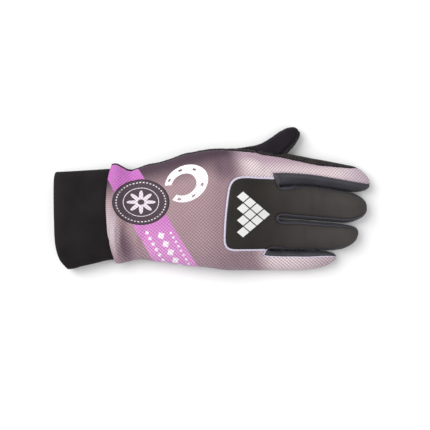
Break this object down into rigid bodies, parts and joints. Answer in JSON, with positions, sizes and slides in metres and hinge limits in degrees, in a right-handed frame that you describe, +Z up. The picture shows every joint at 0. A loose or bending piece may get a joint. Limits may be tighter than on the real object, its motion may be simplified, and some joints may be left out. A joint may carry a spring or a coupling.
{
  "type": "riding glove",
  "caption": "Right-hand riding glove lying palm down, sewn from mesh, stretch and suede panels, hollow with an open stretch cuff.",
  "frame": {"origin": "bottom centre of the glove's box, on the surface that it lies on", "axes": "+X from the cuff to the fingertips, +Y towards the thumb, +Z up out of the back of the hand"},
  "size_m": [0.252, 0.1142, 0.0286],
  "materials": {
    "stretch_cuff": "matte brushed stretch knit",
    "suede": "matte synthetic suede with a short nap",
    "printed_mesh": "satin pitted mesh with a woven-in blush print",
    "softshell": "matte softshell cloth",
    "edging": "light stitched edging",
    "stretch": "fine stretch knit with a slight sheen"
  },
  "bodies": {
    "root": {"cuff": "stretch_cuff", "palm_panel": "suede", "back_panel": "printed_mesh", "knuckle_panel": "softshell", "knuckle_edging": "edging", "thumb_back": "stretch", "thumb_front": "suede", "fourchette_index_middle": "stretch", "fourchette_middle_ring": "stretch", "fourchette_ring_little": "stretch"}
  },
  "joints": []
}
